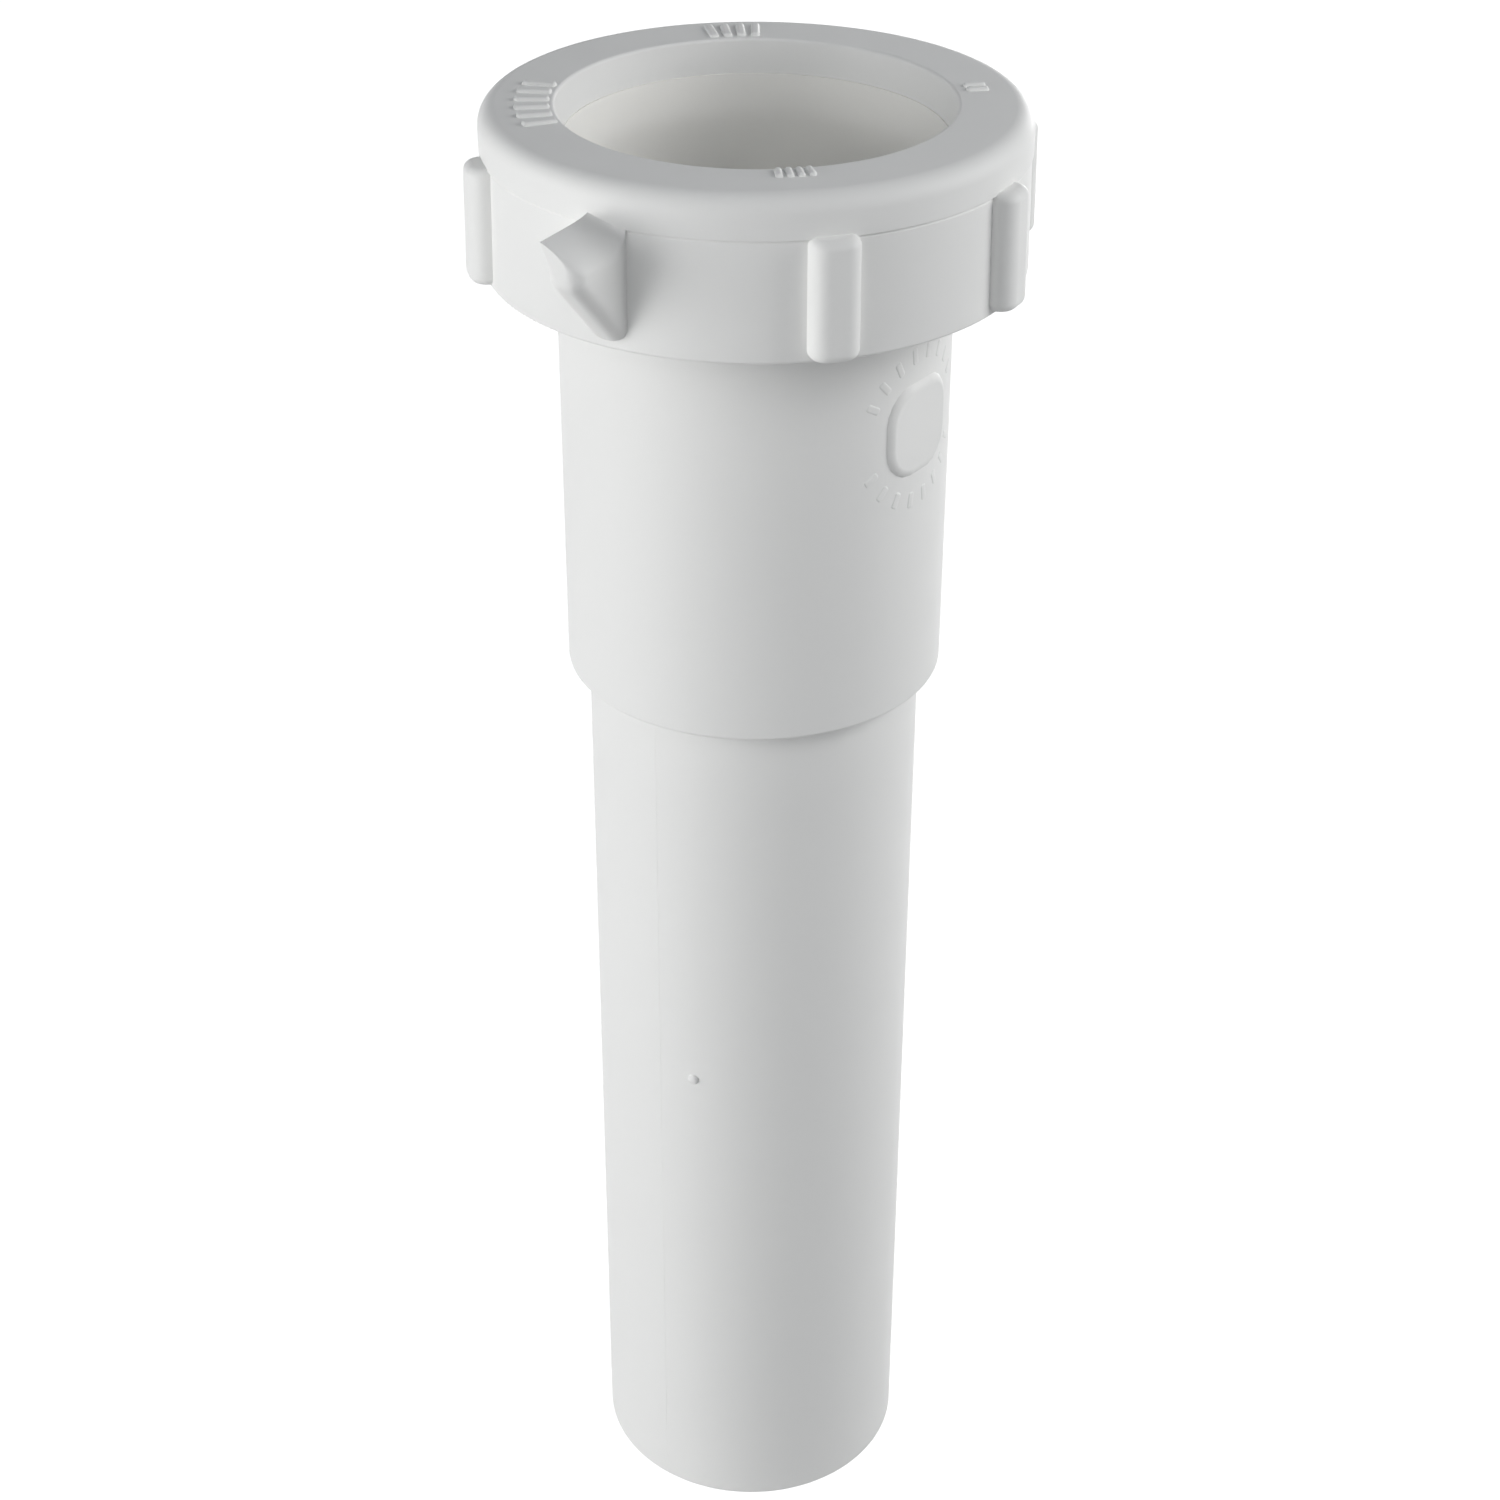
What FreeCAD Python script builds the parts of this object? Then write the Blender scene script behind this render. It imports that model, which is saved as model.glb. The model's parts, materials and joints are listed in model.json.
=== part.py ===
# Slip-joint extension tube for a basin waste: the tube, its slip nut and its slip washer.
# Millimetres. The tube stands on its tail: its axis is +Z, the tail's end is z = 0 and the front is -Y.
import FreeCAD, Part
import os

import Sketcher
from FreeCAD import Placement, Rotation, Vector

# Driving sizes: alias, value, what it measures. Radial sizes are measured on radius.
SIZES = (
    ("overall_height", 152.4, "tail end to the top face of the nut"),
    ("tail_diameter", 31.75, "outside of the plain tail, and of the pipe that the socket takes"),
    ("tail_length", 97.8, "tail end to the step outside"),
    ("tail_wall", 1.9, "wall of the tail"),
    ("tail_chamfer", 0.4, "chamfer of the tail's outer edge"),
    ("socket_clearance", 0.275, "gap all round a pipe in the socket"),
    ("socket_wall", 1.725, "wall of the socket"),
    ("stop_thickness", 2.4, "step outside to the stop inside"),
    ("step_chamfer", 0.4, "chamfer of the socket's lower edge"),
    ("collar_step", 1.875, "how far the collar under the thread stands out from the socket"),
    ("thread_depth", 1.2, "height of the thread over the collar"),
    ("thread_clearance", 0.15, "gap between a thread's crest and the root it runs in"),
    ("thread_pitch", 2.2087, "rise in one turn, 11.5 threads to the inch"),
    ("thread_turns", 3.5, "turns of thread on the collar"),
    ("seat_width", 1.9, "width of the cone in the mouth"),
    ("seat_depth", 9.3, "depth of the cone in the mouth"),
    ("washer_clearance", 0.2, "gap between the washer's bore and the pipe"),
    ("flange_clearance", 0.3, "gap between the washer's flange and the nut's thread"),
    ("flange_thickness", 1.5, "thickness of the washer's flange"),
    ("nose_tip", 0.45, "wall at the tip of the washer's tapered nose"),
    ("nose_clearance", 0.15, "gap between the nose and the cone"),
    ("nut_height", 14.7, "height of the nut"),
    ("skirt_wall", 3.0, "wall of the nut's skirt, at the parting line"),
    ("skirt_flare", 0.2, "how far the skirt opens out to its foot"),
    ("hole_clearance", 1.175, "gap between the pipe and the hole in the nut's rim, where it is narrowest"),
    ("hole_draft", 0.5, "widening of that hole up through the rim"),
    ("hole_chamfer", 0.3, "chamfer of the hole's upper edge"),
    ("rim_thickness", 3.4, "thickness of the nut's rim"),
    ("cap_height", 4.05, "depth of the nut's cap, top face to parting line"),
    ("cap_lip", 0.15, "how far the cap stands out from the skirt"),
    ("cap_round", 1.7, "rounding of the cap's shoulder"),
    ("skirt_lead", 0.6, "chamfer of the bore at the skirt's foot"),
    ("skirt_chamfer", 0.25, "chamfer of the skirt's lower edge"),
    ("lug_bury", 0.5, "how deep ribs and wings run into the skirt"),
    ("rib_count", 3, "ribs from one wing to the other"),
    ("rib_width", 4.4, "width of a rib"),
    ("rib_reach", 1.75, "how far a rib stands out from the skirt"),
    ("rib_corner", 1.3, "rounding of a rib's upright corners"),
    ("rib_foot", 0.1, "foot of a rib above the chamfer of the skirt"),
    ("rib_chamfer", 0.6, "chamfer of a rib's foot and top"),
    ("wing_reach", 7.1, "how far a wing stands out from the skirt"),
    ("wing_thickness", 3.4, "thickness of a wing"),
    ("wing_foot", 0.1, "foot of a wing's root above the foot of the skirt"),
    ("wing_rise", 0.45, "top of a wing above the parting line"),
    ("wing_tip", 3.4, "height of a wing's tip"),
    ("wing_blend", 1.6, "hollow radius between a wing's top and the cap"),
    ("wing_round", 1.3, "rounding of a wing's edges"),
    ("wing_bearing", 60.2, "turn of the wings from the X axis, in degrees"),
)

# Radii and heights that several features share, as expressions on the sheet.
TAIL_R = "Sizes.tail_diameter / 2"
TAIL_BORE_R = f"({TAIL_R} - Sizes.tail_wall)"
SOCKET_BORE_R = f"({TAIL_R} + Sizes.socket_clearance)"
SOCKET_R = f"({SOCKET_BORE_R} + Sizes.socket_wall)"
CORE_R = f"({SOCKET_R} + Sizes.collar_step)"
SEAT_R = f"({SOCKET_BORE_R} + Sizes.seat_width)"
NUT_THREAD_R = f"({CORE_R} + Sizes.thread_clearance)"
NUT_BORE_R = f"({NUT_THREAD_R} + Sizes.thread_depth)"
SKIRT_R = f"({NUT_BORE_R} + Sizes.skirt_wall)"
FOOT_R = f"({SKIRT_R} + Sizes.skirt_flare)"
CAP_R = f"({SKIRT_R} + Sizes.cap_lip)"
LUG_ROOT_R = f"({SKIRT_R} - Sizes.lug_bury)"
WING_BLEND_R = f"({SKIRT_R} + Sizes.wing_blend)"
MOUTH_Z = "(Sizes.overall_height - Sizes.rim_thickness - Sizes.flange_thickness)"
PARTING_Z = "(Sizes.nut_height - Sizes.cap_height)"
RIB_FOOT_Z = "(Sizes.skirt_chamfer + Sizes.rib_foot)"
LUG_STEP = "180 / (Sizes.rib_count + 1)"

# How near, in millimetres, an edge lies to the place where it is looked for.
NEAR = 0.001


def fill_sheet(doc):
    sheet = doc.addObject("Spreadsheet::Sheet", "Sizes")
    for row, (alias, value, note) in enumerate(SIZES, start=1):
        sheet.set(f"A{row}", alias)
        sheet.set(f"B{row}", str(value))
        sheet.set(f"C{row}", note)
        sheet.setAlias(f"B{row}", alias)
    doc.recompute()


def number(thing, expression):
    """The value that an expression on the sheet has now."""
    return float(thing.evalExpression(expression))


def new_sketch(body, name, role):
    """An empty sketch on one of the body's own origin planes."""
    sketch = body.newObject("Sketcher::SketchObject", name)
    plane = next(f for f in body.Origin.OriginFeatures if f.Role == role)
    sketch.AttachmentSupport = [(plane, "")]
    sketch.MapMode = "FlatFace"
    return sketch


def bind(sketch, kind, run, end, expression):
    """Dimension one point of a line or an arc from the sketch's origin."""
    if expression == "0":
        axis = -1 if kind == "DistanceY" else -2
        sketch.addConstraint(Sketcher.Constraint("PointOnObject", run, end, axis))
        return
    size = Sketcher.Constraint(kind, -1, 1, run, end, number(sketch, expression))
    index = sketch.addConstraint(size)
    sketch.setExpression(f"Constraints[{index}]", expression)


def closed_outline(sketch, corners, arcs=None):
    """A closed run of lines whose corners are each placed by two expressions.

    arcs gives the centre of each run that is an arc instead of a line, by the run's number.
    """
    arcs = arcs or {}

    def point(corner):
        return Vector(*(number(sketch, expression) for expression in corner))

    points = [point(corner) for corner in corners]
    count = len(points)
    ends = []
    for run in range(count):
        start, end = points[run], points[(run + 1) % count]
        if run not in arcs:
            sketch.addGeometry(Part.LineSegment(start, end))
            ends.append((1, 2))
            continue
        centre = point(arcs[run])
        out, back = start - centre, end - centre
        middle = centre + (out + back).normalize() * out.Length
        turns_left = out.cross(back).z > 0
        first, last = (start, end) if turns_left else (end, start)
        sketch.addGeometry(Part.Arc(first, middle, last))
        ends.append((1, 2) if turns_left else (2, 1))
    for run in range(count):
        following = (run + 1) % count
        meet = Sketcher.Constraint("Coincident", run, ends[run][1], following, ends[following][0])
        sketch.addConstraint(meet)
    for run, (across, up) in enumerate(corners):
        bind(sketch, "DistanceX", run, ends[run][0], across)
        bind(sketch, "DistanceY", run, ends[run][0], up)
    for run, centre in arcs.items():
        bind(sketch, "DistanceX", run, 3, centre[0])


def turned(body, name, corners, bearing="0"):
    """A solid of revolution about the body's Z axis, from its half section in radius and height.

    The section, and with it the seam of the round faces, stands at a bearing about that axis.
    """
    sketch = new_sketch(body, f"{name}_section", "XZ_Plane")
    angle = number(sketch, bearing)
    sketch.AttachmentOffset = Placement(Vector(), Rotation(Vector(0, 1, 0), angle))
    if angle:
        sketch.setExpression("AttachmentOffset.Rotation.Angle", bearing)
    closed_outline(sketch, corners)
    solid = body.newObject("PartDesign::Revolution", name)
    solid.Profile = sketch
    solid.ReferenceAxis = (sketch, ["V_Axis"])
    solid.Angle = 360
    body.Document.recompute()
    return solid


def rings(feature, radius, height):
    """Names of the full-circle edges of a feature at one radius and height."""
    radius = number(feature, radius)
    height = number(feature, height)
    found = []
    for place, edge in enumerate(feature.Shape.Edges, start=1):
        curve = edge.Curve
        if not isinstance(curve, Part.Circle) or not edge.isClosed():
            continue
        if abs(curve.Radius - radius) < NEAR and abs(curve.Center.z - height) < NEAR:
            found.append(f"Edge{place}")
    return found


def edges_where(feature, wanted):
    """Names of the edges of a feature whose middle point passes a test."""
    found = []
    for place, edge in enumerate(feature.Shape.Edges, start=1):
        middle = edge.valueAt((edge.FirstParameter + edge.LastParameter) / 2)
        if wanted(middle):
            found.append(f"Edge{place}")
    return found


def rounded(body, name, base, edges, radius):
    """Fillet the chosen edges of the feature before."""
    fillet = body.newObject("PartDesign::Fillet", name)
    fillet.Base = (base, edges)
    fillet.setExpression("Radius", radius)
    body.Document.recompute()
    return fillet


def chamfered(body, name, base, edges, size):
    """Chamfer the chosen edges of the feature before."""
    chamfer = body.newObject("PartDesign::Chamfer", name)
    chamfer.Base = (base, edges)
    chamfer.setExpression("Size", size)
    body.Document.recompute()
    return chamfer


def polar_copies(body, name, axis, angle, copies):
    """A pattern of copies about an axis of a sketch, spread over an angle."""
    pattern = body.newObject("PartDesign::PolarPattern", name)
    pattern.Axis = axis
    pattern.setExpression("Angle", angle)
    pattern.setExpression("Occurrences", copies)
    return pattern


def make_tube(doc):
    """One moulding: plain tail, step, socket with its stop, collar for the thread, coned mouth."""
    body = doc.addObject("PartDesign::Body", "extension_tube")
    stop_z = "Sizes.tail_length + Sizes.stop_thickness"
    collar_z = f"{MOUTH_Z} - Sizes.thread_turns * Sizes.thread_pitch"
    tube = turned(body, "tube", (
        (TAIL_BORE_R, "0"),
        (TAIL_R, "0"),
        (TAIL_R, "Sizes.tail_length"),
        (SOCKET_R, "Sizes.tail_length"),
        (SOCKET_R, f"{collar_z} - Sizes.collar_step"),
        (CORE_R, collar_z),
        (CORE_R, MOUTH_Z),
        (SEAT_R, MOUTH_Z),
        (SOCKET_BORE_R, f"{MOUTH_Z} - Sizes.seat_depth"),
        (SOCKET_BORE_R, stop_z),
        (TAIL_BORE_R, stop_z),
    ))
    tail = chamfered(body, "tail_edge", tube, rings(tube, TAIL_R, "0"), "Sizes.tail_chamfer")
    step = rings(tail, SOCKET_R, "Sizes.tail_length")
    chamfered(body, "step_edge", tail, step, "Sizes.step_chamfer")
    return body


def make_washer(doc):
    """Flanged ring whose tapered nose hangs in the mouth's cone."""
    body = doc.addObject("PartDesign::Body", "slip_washer")
    bore_r = f"({TAIL_R} + Sizes.washer_clearance)"
    tip_r = f"({bore_r} + Sizes.nose_tip)"
    nose_r = f"({SEAT_R} - Sizes.nose_clearance)"
    flange_r = f"{NUT_THREAD_R} - Sizes.flange_clearance"
    nose_length = f"(({nose_r} - {tip_r}) * Sizes.seat_depth / Sizes.seat_width)"
    top = f"{nose_length} + Sizes.flange_thickness"
    turned(body, "ring", (
        (bore_r, "0"),
        (tip_r, "0"),
        (nose_r, nose_length),
        (flange_r, nose_length),
        (flange_r, top),
        (bore_r, top),
    ))
    body.setExpression("Placement.Base.z", f"{MOUTH_Z} - {nose_length}")
    return body


def add_ribs(body):
    """Finger ribs from the skirt's foot to the parting line, evenly spaced from wing to wing."""
    half = "Sizes.rib_width / 2"
    flat = f"({half} - Sizes.rib_corner)"
    face = f"({FOOT_R} + Sizes.rib_reach)"
    side = f"({face} - Sizes.rib_corner)"
    section = new_sketch(body, "rib_section", "XY_Plane")
    closed_outline(section, (
        (f"-{half}", LUG_ROOT_R),
        (half, LUG_ROOT_R),
        (half, side),
        (flat, face),
        (f"-{flat}", face),
        (f"-{half}", side),
    ), arcs={2: (flat, side), 4: (f"-{flat}", side)})
    section.setExpression("AttachmentOffset.Base.z", RIB_FOOT_Z)
    section.setExpression("AttachmentOffset.Rotation.Angle", f"{LUG_STEP} - 90")
    rib = body.newObject("PartDesign::Pad", "rib")
    rib.Profile = section
    rib.setExpression("Length", f"{PARTING_Z} - {RIB_FOOT_Z}")
    rib.setExpression("TaperAngle", f"-atan(Sizes.skirt_flare / {PARTING_Z})")
    body.Document.recompute()
    ring = body.newObject("PartDesign::MultiTransform", "rib_ring")
    ring.Originals = [rib]
    axis = (section, ["N_Axis"])
    fan = f"{LUG_STEP} * (Sizes.rib_count - 1)"
    between = polar_copies(body, "ribs_between_wings", axis, fan, "Sizes.rib_count")
    around = polar_copies(body, "ribs_both_sides", axis, "360", "2")
    ring.Transformations = [between, around]
    body.Tip = ring
    body.Document.recompute()
    skirt_r = max(number(ring, FOOT_R), number(ring, CAP_R))
    ends = (number(ring, RIB_FOOT_Z), number(ring, PARTING_Z))

    def at_end(middle):
        outside = (middle.x ** 2 + middle.y ** 2) ** 0.5 > skirt_r + NEAR
        return outside and any(abs(middle.z - end) < NEAR for end in ends)

    chamfered(body, "rib_ends", ring, edges_where(ring, at_end), "Sizes.rib_chamfer")


def add_wings(body):
    """Two opposite wings: flat on top with a hollow blend to the cap, cut back below to the foot."""
    tip_r = f"({SKIRT_R} + Sizes.wing_reach)"
    top_z = f"({PARTING_Z} + Sizes.wing_rise)"
    blend_z = f"({top_z} + Sizes.wing_blend)"
    section = new_sketch(body, "wing_section", "XZ_Plane")
    closed_outline(section, (
        (LUG_ROOT_R, "Sizes.wing_foot"),
        (tip_r, f"{top_z} - Sizes.wing_tip"),
        (tip_r, top_z),
        (WING_BLEND_R, top_z),
        (SKIRT_R, blend_z),
        (LUG_ROOT_R, blend_z),
    ), arcs={3: (WING_BLEND_R, blend_z)})
    wing = body.newObject("PartDesign::Pad", "wing")
    wing.Profile = section
    wing.SideType = "Symmetric"
    wing.setExpression("Length", "Sizes.wing_thickness")
    body.Document.recompute()
    pair = polar_copies(body, "wing_pair", (section, ["V_Axis"]), "360", "2")
    pair.Originals = [wing]
    body.Tip = pair
    body.Document.recompute()
    blend_r = number(pair, WING_BLEND_R)
    half = number(pair, "Sizes.wing_thickness / 2")

    def beyond_blend(middle):
        return abs(middle.x) > blend_r and abs(middle.y) < half + NEAR

    rounded(body, "wing_edges", pair, edges_where(pair, beyond_blend), "Sizes.wing_round")


def make_nut(doc):
    """Screw cap with a rounded shoulder, finger ribs and two opposite wings."""
    body = doc.addObject("PartDesign::Body", "slip_nut")
    top_z = "Sizes.nut_height"
    under_rim_z = f"{top_z} - Sizes.rim_thickness"
    neck_r = f"({TAIL_R} + Sizes.hole_clearance)"
    hole_r = f"({neck_r} + Sizes.hole_draft)"
    shell = turned(body, "shell", (
        (f"{NUT_BORE_R} + Sizes.skirt_lead", "0"),
        (FOOT_R, "0"),
        (SKIRT_R, PARTING_Z),
        (CAP_R, PARTING_Z),
        (CAP_R, top_z),
        (hole_r, top_z),
        (neck_r, under_rim_z),
        (NUT_BORE_R, under_rim_z),
        (NUT_BORE_R, "Sizes.skirt_lead"),
    ), bearing=f"{LUG_STEP} / 2")
    cap = rounded(body, "cap_shoulder", shell, rings(shell, CAP_R, top_z), "Sizes.cap_round")
    hole = chamfered(body, "hole_edge", cap, rings(cap, hole_r, top_z), "Sizes.hole_chamfer")
    chamfered(body, "skirt_edge", hole, rings(hole, FOOT_R, "0"), "Sizes.skirt_chamfer")
    add_ribs(body)
    add_wings(body)
    body.setExpression("Placement.Base.z", "Sizes.overall_height - Sizes.nut_height")
    body.setExpression("Placement.Rotation.Angle", "Sizes.wing_bearing")
    return body


def main():
    doc = FreeCAD.newDocument("extension_tube")
    fill_sheet(doc)
    bodies = [make_tube(doc), make_washer(doc), make_nut(doc)]
    doc.recompute()
    for thing in doc.Objects:
        if "Invalid" in thing.State or "Error" in thing.State:
            raise RuntimeError(f"{thing.Label} failed: {thing.State}")
    for body in bodies:
        if body.Shape.isNull() or not body.Shape.isValid():
            raise RuntimeError(f"{body.Label} has no valid shape")
    os.makedirs("parts", exist_ok=True)
    for body in bodies:
        body.Shape.exportStep(f"parts/{body.Label}.step")
        print(body.Label, round(body.Shape.Volume, 1), body.Shape.BoundBox)


main()
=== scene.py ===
import json
import math

import bmesh
import bpy
from mathutils import Matrix, Quaternion, Vector


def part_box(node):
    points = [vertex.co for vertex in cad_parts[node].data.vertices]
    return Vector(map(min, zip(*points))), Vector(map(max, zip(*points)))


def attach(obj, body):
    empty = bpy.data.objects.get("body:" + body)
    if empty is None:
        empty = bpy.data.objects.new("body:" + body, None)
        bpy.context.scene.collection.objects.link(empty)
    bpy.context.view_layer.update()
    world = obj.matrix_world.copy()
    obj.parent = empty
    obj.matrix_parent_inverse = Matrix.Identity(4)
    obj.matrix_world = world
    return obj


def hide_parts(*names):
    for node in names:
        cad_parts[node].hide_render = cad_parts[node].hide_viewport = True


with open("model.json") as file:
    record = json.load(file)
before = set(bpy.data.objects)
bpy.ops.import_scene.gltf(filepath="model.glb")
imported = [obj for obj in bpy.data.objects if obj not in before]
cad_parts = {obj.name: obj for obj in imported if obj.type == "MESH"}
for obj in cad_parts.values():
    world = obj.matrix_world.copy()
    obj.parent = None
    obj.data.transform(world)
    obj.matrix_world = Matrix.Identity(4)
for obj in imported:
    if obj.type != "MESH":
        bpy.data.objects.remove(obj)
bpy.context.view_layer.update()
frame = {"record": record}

MM = 0.001
FULL_TURN = 2 * math.pi
QUARTER_TURN = FULL_TURN / 4

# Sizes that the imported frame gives
mounts = {mount["name"]: mount["dims"] for mount in frame["record"]["mounts"]}
coupling = frame["record"]["behaviour"]["couplings"][0]
_, tube_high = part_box("extension_tube")
washer_low, washer_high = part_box("slip_washer")
nut_low, nut_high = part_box("slip_nut")

# Tube
TAIL_R = mounts["tail"]["r_mm"] * MM
TAIL_WALL = 1.9 * MM
TAIL_BORE_R = TAIL_R - TAIL_WALL
TAIL_END_EDGE = 0.4 * MM
SOCKET_BORE_R = mounts["socket"]["r_mm"] * MM
SOCKET_WALL = 1.725 * MM
SOCKET_R = SOCKET_BORE_R + SOCKET_WALL
STEP_EDGE = 0.4 * MM
STEP_ROOT = 0.3 * MM
STEP_Z = mounts["tail"]["length_mm"] * MM + STEP_EDGE
STOP_WALL = 2.4 * MM
STOP_Z = STEP_Z + STOP_WALL
STOP_EDGE = 0.5 * MM
STOP_ROOT = 0.4 * MM
MOUTH_Z = tube_high.z
MOUTH_EDGE = 0.35 * MM
SEAT_FLARE = 1.9 * MM
SEAT_R = SOCKET_BORE_R + SEAT_FLARE
SEAT_DEPTH = 9.3 * MM
SEAT_Z = MOUTH_Z - SEAT_DEPTH
SEAT_EDGE = 0.2 * MM
SEAT_ROOT = 0.5 * MM

# Screw thread, half a pitch between the tube's ridge and the nut's
PITCH = FULL_TURN * coupling["ratio"]
COLLAR_R = tube_high.x
COLLAR_TURNS = 3.5
COLLAR_FOOT_Z = MOUTH_Z - COLLAR_TURNS * PITCH
COLLAR_EDGE = 0.3 * MM
COLLAR_ROOT = 0.6 * MM
THREAD_DEPTH = 1.2 * MM
THREAD_GAP = 0.15 * MM
THREAD_POINTS = 96
THREAD_FADE = 0.12
THREAD_START = 0.04
RIDGE_ROOT = 1.6 * MM
RIDGE_CREST = 0.4 * MM
RIDGE_EDGE = 0.15 * MM
RIDGE_BURY = 0.25 * MM
RIDGE_MARGIN = 0.85 * MM

# Nut
NUT_FOOT_Z = nut_low.z
NUT_TOP_Z = nut_high.z
NUT_FOOT_EDGE = 0.3 * MM
NUT_BORE_R = COLLAR_R + THREAD_DEPTH + THREAD_GAP
NUT_BORE_ROOT = 0.5 * MM
NUT_LEAD = 0.6 * MM
NUT_LEAD_EDGE = 0.2 * MM
SKIRT_WALL = 3.0 * MM
SKIRT_R = NUT_BORE_R + SKIRT_WALL
SKIRT_FLARE = 0.2 * MM
SKIRT_FOOT_R = SKIRT_R + SKIRT_FLARE
CAP_LIP = 0.15 * MM
CAP_R = SKIRT_R + CAP_LIP
CAP_HEIGHT = 4.05 * MM
CAP_FOOT_Z = NUT_TOP_Z - CAP_HEIGHT
SHOULDER_ROUND = 1.7 * MM
UNDER_RIM_Z = washer_high.z
HOLE_GAP = 1.175 * MM
HOLE_R = TAIL_R + HOLE_GAP
HOLE_DRAFT = 0.5 * MM
HOLE_EDGE = 0.35 * MM
GROOVE_HEIGHT = 0.3 * MM
GROOVE_DEPTH = 0.12 * MM
GROOVE_LIP = 0.04 * MM
GROOVE_ROOT = 0.02 * MM
FINE_EDGE = 0.05 * MM

# Ribs and wings, by their bearing round the axis from +X
WING_BEARING = math.radians(60.2)
LUG_STEP = math.radians(45)
LUG_BURY = 1.2 * MM
LUG_ROOT_R = SKIRT_R - LUG_BURY
RIBS_IN_GROUP = 3
RIB_REACH = 1.75 * MM
RIB_FACE_R = SKIRT_FOOT_R + RIB_REACH
RIB_WIDTH = 4.4 * MM
RIB_FOOT_Z = NUT_FOOT_Z + 0.35 * MM
RIB_TOP_Z = CAP_FOOT_Z + 0.25 * MM
RIB_ROUND = 1.6 * MM
RIB_EDGE = 0.85 * MM
WINGS = 2
WING_REACH = 7.09 * MM
WING_TIP_R = SKIRT_R + WING_REACH
WING_TOP_Z = CAP_FOOT_Z + 0.45 * MM
WING_TIP = 3.4 * MM
WING_THICKNESS = 3.4 * MM
WING_FOOT_GAP = 0.1 * MM
WING_ROUND = 1.3 * MM
WING_PLATE_TOP_Z = WING_TOP_Z - 1.4 * MM

# Crest along each wing's top; a fall is the drop for each unit across the wing
CREST_Z = WING_TOP_Z + 0.15 * MM
CREST_FOOT_Z = WING_TOP_Z - 3.0 * MM
CREST_OVERHANG = 0.25 * MM
CREST_RISE = 0.3 * MM
CREST_BLEND = 3.2 * MM
CREST_BLEND_R = CAP_R - 0.03 * MM
CREST_FALL = 0.35
CREST_ROOT_FALL = 0.21
CREST_RIGHT_INSET = 0.02 * MM
CREST_LEFT_INSET = 0.05 * MM

# Washer
WASHER_BORE_R = TAIL_R + 0.2 * MM
WASHER_LEAD = 0.85 * MM
WASHER_LEAD_DEPTH = 4 * WASHER_LEAD
WASHER_LEAD_EDGE = 0.03 * MM
WASHER_LEAD_SWEEP = 6 * MM
NOSE_TIP_R = WASHER_BORE_R + 0.25 * MM
NOSE_TIP_Z = washer_low.z - 0.87 * MM
NOSE_R = SEAT_R - 0.15 * MM
NOSE_EDGE = 0.1 * MM
FLANGE_R = washer_high.x
FLANGE_EDGE = 0.3 * MM

# Small marks of the mould; an outline is its size along X and along Y, and its corners' radius
MARK_BURY = 0.2 * MM
PAD_OUTLINE = (9.4 * MM, 9.2 * MM, 3.4 * MM)
PAD_RISE = 0.43 * MM
PAD_EDGE = 1.0 * MM
PAD_BEARING = math.radians(-35.4)
PAD_Z = 126.0 * MM
PAD_BAR_OUTLINE = (1.7 * MM, 0.9 * MM, 0.3 * MM)
PAD_BAR_RISE = 0.06 * MM
PAD_BAR_EDGE = 0.25 * MM
PAD_BARS = 8
PAD_BAR_RING_R = 7.0 * MM
PAD_BAR_STEP = math.radians(17.5)
PAD_BAR_STARTS = (math.radians(28.75), math.radians(208.75))
GATE_OUTLINE = (1.1 * MM, 1.1 * MM, 0.5 * MM)
GATE_RISE = 0.35 * MM
GATE_EDGE = 0.4 * MM
GATE_BEARING = math.radians(-111.6)
GATE_Z = 56.5 * MM
SEAM_OUTLINE = (0.3 * MM, STEP_Z - 3 * MM, 0.12 * MM)
SEAM_RISE = 0.02 * MM
SEAM_EDGE = 0.12 * MM
SEAM_BEARING = math.radians(-125.5)
RIM_BAR_RISE = 0.3 * MM
RIM_BAR_BURY = 0.6 * MM
RIM_BAR_CORNER = 0.3 * MM
RIM_Z = NUT_TOP_Z - RIM_BAR_RISE
# Bars on the rim in degrees and mm: name, bearing, count, step, radius, length and width
RIM_BARS = (
    ("front_bars", -80.4, 4, 2.7, 18.9, 1.9, 0.66),
    ("left_bars", 184.0, 6, 6.2, 19.5, 3.1, 1.0),
    ("back_bars", 96.3, 4, 3.9, 19.9, 3.4, 0.85),
    ("right_bars", 10.2, 2, 3.4, 19.6, 2.0, 0.75),
)

# Fineness of the meshes
WALL_SEGMENTS = 240
ARC_STEP = math.radians(11.5)
MARK_ARC_STEP = math.radians(18)
EDGE_STEPS = 6
CREST_STEPS = 12
SAME_POINT = 0.0005 * MM
SHARP_ANGLE = math.radians(32)

# Photograph's camera, standing on the -Y side
CAMERA_LENS = 67.325
CAMERA_SENSOR = 36
CAMERA_CLIP = 0.01
CAMERA_DISTANCE = 277.66 * MM
CAMERA_PITCH = math.radians(31.227)
CAMERA_ROLL = math.radians(0.214)
CAMERA_AIM = Vector((-0.347, 0, 86.07)) * MM

# Plastic
GRAIN_SHARE, DRAW_SHARE = 0.6, 0.4
DRAW_STRETCH = (1, 1, 0.03)
SHEEN_SPREAD = 0.24
PALE_WHITE, DEEP_WHITE = (0.88, 0.88, 0.865, 1), (0.86, 0.86, 0.845, 1)
PALE_WAX, DEEP_WAX = (0.94, 0.93, 0.895, 1), (0.92, 0.91, 0.87, 1)

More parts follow.
